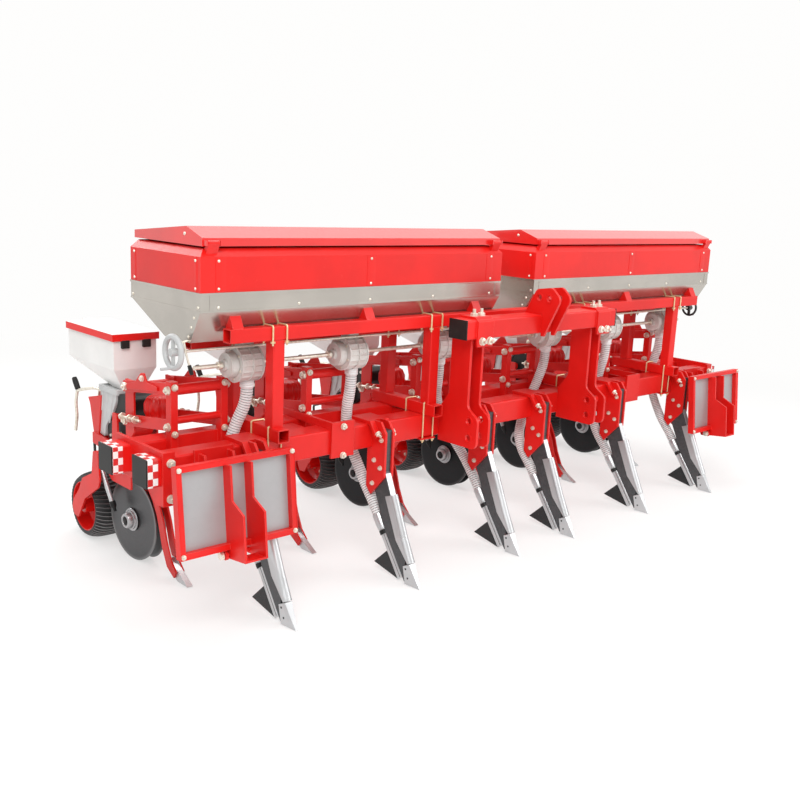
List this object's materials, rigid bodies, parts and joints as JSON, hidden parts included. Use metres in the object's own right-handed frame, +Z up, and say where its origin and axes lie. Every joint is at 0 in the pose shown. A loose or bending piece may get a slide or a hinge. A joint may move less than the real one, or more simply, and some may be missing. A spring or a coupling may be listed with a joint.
{
  "type": "six-row precision planter",
  "caption": "Mounted row-crop planter: square toolbar, fertiliser hoppers, shanks with hoses, and row units with seed hoppers, opener discs and press wheels.",
  "frame": {"origin": "on the floor, at the middle of the machine's length and of its width, without the hoses", "axes": "+X along the toolbar beams to the machine's left as it travels, -Y towards the tractor, +Z up"},
  "size_m": [3.66, 1.425, 1.384],
  "materials": {
    "black_plastic": "black",
    "zinc": "bright zinc plate",
    "hose_plastic": "pale grey ribbed hose",
    "stainless": "plain rolled stainless sheet",
    "clear_plastic": "milky grey translucent plastic",
    "dark_steel": "dark grey oxide",
    "red_paint": "bright red gloss enamel",
    "bare_steel": "worn bare steel",
    "tyre_rubber": "black ribbed rubber",
    "white_plastic": "off-white moulded plastic"
  },
  "bodies": {
    "frame": {"beam_end_caps": "black_plastic", "feed_shafts": "zinc", "fert_hose_1": "hose_plastic", "fert_hose_2": "hose_plastic", "fert_hose_3": "hose_plastic", "fert_hose_4": "hose_plastic", "fert_hose_5": "hose_plastic", "fert_hose_6": "hose_plastic", "fertiliser_hopper_left": "stainless", "fertiliser_hopper_right": "stainless", "fertiliser_meters": "clear_plastic", "fertiliser_tubes": "dark_steel", "frame_cross_members": "red_paint", "frame_end_plates": "red_paint", "front_beam": "red_paint", "hitch_top_beam": "red_paint", "hitch_uprights": "red_paint", "hopper_posts": "red_paint", "hopper_rails": "red_paint", "rear_beam": "red_paint", "row_brackets": "red_paint", "row_frames": "red_paint", "row_links": "red_paint", "row_tines": "red_paint", "seed_hoppers": "white_plastic", "seed_meters": "red_paint", "shank_clamps": "red_paint", "shank_plates": "dark_steel", "shank_points": "zinc", "step_brackets": "red_paint", "top_link_ears": "red_paint", "wheel_forks": "red_paint"},
    "disc_left_1": {"opener_disc_left_1": "bare_steel"},
    "disc_right_1": {"opener_disc_right_1": "bare_steel"},
    "disc_left_2": {"opener_disc_left_2": "bare_steel"},
    "disc_right_2": {"opener_disc_right_2": "bare_steel"},
    "disc_left_3": {"opener_disc_left_3": "bare_steel"},
    "disc_right_3": {"opener_disc_right_3": "bare_steel"},
    "disc_left_4": {"opener_disc_left_4": "bare_steel"},
    "disc_right_4": {"opener_disc_right_4": "bare_steel"},
    "disc_left_5": {"opener_disc_left_5": "bare_steel"},
    "disc_right_5": {"opener_disc_right_5": "bare_steel"},
    "disc_left_6": {"opener_disc_left_6": "bare_steel"},
    "disc_right_6": {"opener_disc_right_6": "bare_steel"},
    "press_1": {"press_wheel_1": "tyre_rubber"},
    "press_2": {"press_wheel_2": "tyre_rubber"},
    "press_3": {"press_wheel_3": "tyre_rubber"},
    "press_4": {"press_wheel_4": "tyre_rubber"},
    "press_5": {"press_wheel_5": "tyre_rubber"},
    "press_6": {"press_wheel_6": "tyre_rubber"},
    "seed_cover_1": {"seed_lid_1": "red_paint"},
    "seed_cover_2": {"seed_lid_2": "red_paint"},
    "seed_cover_3": {"seed_lid_3": "red_paint"},
    "seed_cover_4": {"seed_lid_4": "red_paint"},
    "seed_cover_5": {"seed_lid_5": "red_paint"},
    "seed_cover_6": {"seed_lid_6": "red_paint"},
    "hopper_cover_left": {"hopper_lid_left": "red_paint"},
    "hopper_cover_right": {"hopper_lid_right": "red_paint"},
    "folding_step_left": {"step_left": "red_paint"},
    "folding_step_right": {"step_right": "red_paint"}
  },
  "joints": [
    {"name": "opener_disc_left_1_spin", "type": "hinge", "parent": "frame", "child": "disc_left_1", "pos_m": [-1.532, 0.2275, 0.172], "axis": [-0.9976, -0.0698, 0], "continuous": true},
    {"name": "opener_disc_right_1_spin", "type": "hinge", "parent": "frame", "child": "disc_right_1", "pos_m": [-1.468, 0.2275, 0.172], "axis": [0.9976, -0.0698, 0], "continuous": true},
    {"name": "opener_disc_left_2_spin", "type": "hinge", "parent": "frame", "child": "disc_left_2", "pos_m": [-0.932, 0.2275, 0.172], "axis": [-0.9976, -0.0698, 0], "continuous": true},
    {"name": "opener_disc_right_2_spin", "type": "hinge", "parent": "frame", "child": "disc_right_2", "pos_m": [-0.868, 0.2275, 0.172], "axis": [0.9976, -0.0698, 0], "continuous": true},
    {"name": "opener_disc_left_3_spin", "type": "hinge", "parent": "frame", "child": "disc_left_3", "pos_m": [-0.332, 0.2275, 0.172], "axis": [-0.9976, -0.0698, 0], "continuous": true},
    {"name": "opener_disc_right_3_spin", "type": "hinge", "parent": "frame", "child": "disc_right_3", "pos_m": [-0.268, 0.2275, 0.172], "axis": [0.9976, -0.0698, 0], "continuous": true},
    {"name": "opener_disc_left_4_spin", "type": "hinge", "parent": "frame", "child": "disc_left_4", "pos_m": [0.268, 0.2275, 0.172], "axis": [-0.9976, -0.0698, 0], "continuous": true},
    {"name": "opener_disc_right_4_spin", "type": "hinge", "parent": "frame", "child": "disc_right_4", "pos_m": [0.332, 0.2275, 0.172], "axis": [0.9976, -0.0698, 0], "continuous": true},
    {"name": "opener_disc_left_5_spin", "type": "hinge", "parent": "frame", "child": "disc_left_5", "pos_m": [0.868, 0.2275, 0.172], "axis": [-0.9976, -0.0698, 0], "continuous": true},
    {"name": "opener_disc_right_5_spin", "type": "hinge", "parent": "frame", "child": "disc_right_5", "pos_m": [0.932, 0.2275, 0.172], "axis": [0.9976, -0.0698, 0], "continuous": true},
    {"name": "opener_disc_left_6_spin", "type": "hinge", "parent": "frame", "child": "disc_left_6", "pos_m": [1.468, 0.2275, 0.172], "axis": [-0.9976, -0.0698, 0], "continuous": true},
    {"name": "opener_disc_right_6_spin", "type": "hinge", "parent": "frame", "child": "disc_right_6", "pos_m": [1.532, 0.2275, 0.172], "axis": [0.9976, -0.0698, 0], "continuous": true},
    {"name": "press_wheel_1_spin", "type": "hinge", "parent": "frame", "child": "press_1", "pos_m": [-1.5, 0.5685, 0.144], "axis": [1, 0, 0], "continuous": true},
    {"name": "press_wheel_2_spin", "type": "hinge", "parent": "frame", "child": "press_2", "pos_m": [-0.9, 0.5685, 0.144], "axis": [1, 0, 0], "continuous": true},
    {"name": "press_wheel_3_spin", "type": "hinge", "parent": "frame", "child": "press_3", "pos_m": [-0.3, 0.5685, 0.144], "axis": [1, 0, 0], "continuous": true},
    {"name": "press_wheel_4_spin", "type": "hinge", "parent": "frame", "child": "press_4", "pos_m": [0.3, 0.5685, 0.144], "axis": [1, 0, 0], "continuous": true},
    {"name": "press_wheel_5_spin", "type": "hinge", "parent": "frame", "child": "press_5", "pos_m": [0.9, 0.5685, 0.144], "axis": [1, 0, 0], "continuous": true},
    {"name": "press_wheel_6_spin", "type": "hinge", "parent": "frame", "child": "press_6", "pos_m": [1.5, 0.5685, 0.144], "axis": [1, 0, 0], "continuous": true},
    {"name": "seed_lid_1_hinge", "type": "hinge", "parent": "frame", "child": "seed_cover_1", "pos_m": [-1.5, 0.6805, 0.932], "axis": [-1, 0, 0], "range_deg": [0, 110]},
    {"name": "seed_lid_2_hinge", "type": "hinge", "parent": "frame", "child": "seed_cover_2", "pos_m": [-0.9, 0.6805, 0.932], "axis": [-1, 0, 0], "range_deg": [0, 110]},
    {"name": "seed_lid_3_hinge", "type": "hinge", "parent": "frame", "child": "seed_cover_3", "pos_m": [-0.3, 0.6805, 0.932], "axis": [-1, 0, 0], "range_deg": [0, 110]},
    {"name": "seed_lid_4_hinge", "type": "hinge", "parent": "frame", "child": "seed_cover_4", "pos_m": [0.3, 0.6805, 0.932], "axis": [-1, 0, 0], "range_deg": [0, 110]},
    {"name": "seed_lid_5_hinge", "type": "hinge", "parent": "frame", "child": "seed_cover_5", "pos_m": [0.9, 0.6805, 0.932], "axis": [-1, 0, 0], "range_deg": [0, 110]},
    {"name": "seed_lid_6_hinge", "type": "hinge", "parent": "frame", "child": "seed_cover_6", "pos_m": [1.5, 0.6805, 0.932], "axis": [-1, 0, 0], "range_deg": [0, 110]},
    {"name": "hopper_lid_left_hinge", "type": "hinge", "parent": "frame", "child": "hopper_cover_left", "pos_m": [-0.8615, -0.4245, 1.334], "axis": [1, 0, 0], "range_deg": [0, 100]},
    {"name": "hopper_lid_right_hinge", "type": "hinge", "parent": "frame", "child": "hopper_cover_right", "pos_m": [0.8615, -0.4245, 1.334], "axis": [1, 0, 0], "range_deg": [0, 100]},
    {"name": "step_left_fold", "type": "hinge", "parent": "frame", "child": "folding_step_left", "pos_m": [-1.555, -0.5905, 0.296], "axis": [1, 0, 0], "range_deg": [0, 96]},
    {"name": "step_right_fold", "type": "hinge", "parent": "frame", "child": "folding_step_right", "pos_m": [1.555, -0.5905, 0.296], "axis": [1, 0, 0], "range_deg": [0, 96]}
  ]
}
